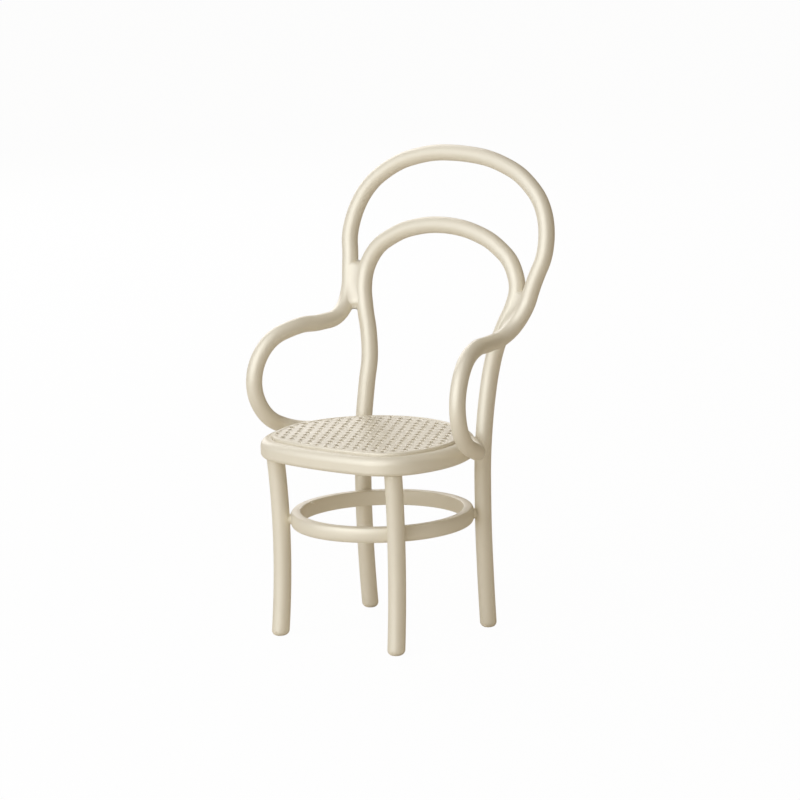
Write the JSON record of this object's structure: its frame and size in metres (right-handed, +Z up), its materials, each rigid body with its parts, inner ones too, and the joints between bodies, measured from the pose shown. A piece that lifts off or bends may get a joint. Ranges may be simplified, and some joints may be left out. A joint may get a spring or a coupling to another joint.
{
  "type": "miniature bentwood style armchair",
  "caption": "Doll-size metal armchair in cream enamel: two bent rod hoops, looped arms, four legs, a leg ring and a round seat with a moulded cane panel.",
  "frame": {"origin": "on the floor, under the middle of the chair's box", "axes": "+X across the chair, to the right as seen from its front, +Y from the front of the seat to the back hoop, +Z up"},
  "size_m": [0.0776, 0.0684, 0.13],
  "materials": {
    "cream_enamel": "satin enamel, a little uneven where it pooled",
    "cane_enamel": "satin enamel, pooled in the cane relief"
  },
  "bodies": {
    "root": {"back_frame": "cream_enamel", "arm_hoop": "cream_enamel", "front_leg_left": "cream_enamel", "front_leg_right": "cream_enamel", "seat_rim": "cream_enamel", "cane_panel": "cane_enamel", "leg_ring": "cream_enamel", "ring_pin_front_left": "cream_enamel", "ring_pin_front_right": "cream_enamel", "ring_pin_rear_left": "cream_enamel", "ring_pin_rear_right": "cream_enamel", "seat_pin_left": "cream_enamel", "seat_pin_right": "cream_enamel", "hoop_pin_left": "cream_enamel", "hoop_pin_right": "cream_enamel", "arm_pin_left": "cream_enamel", "arm_pin_right": "cream_enamel"}
  },
  "joints": []
}
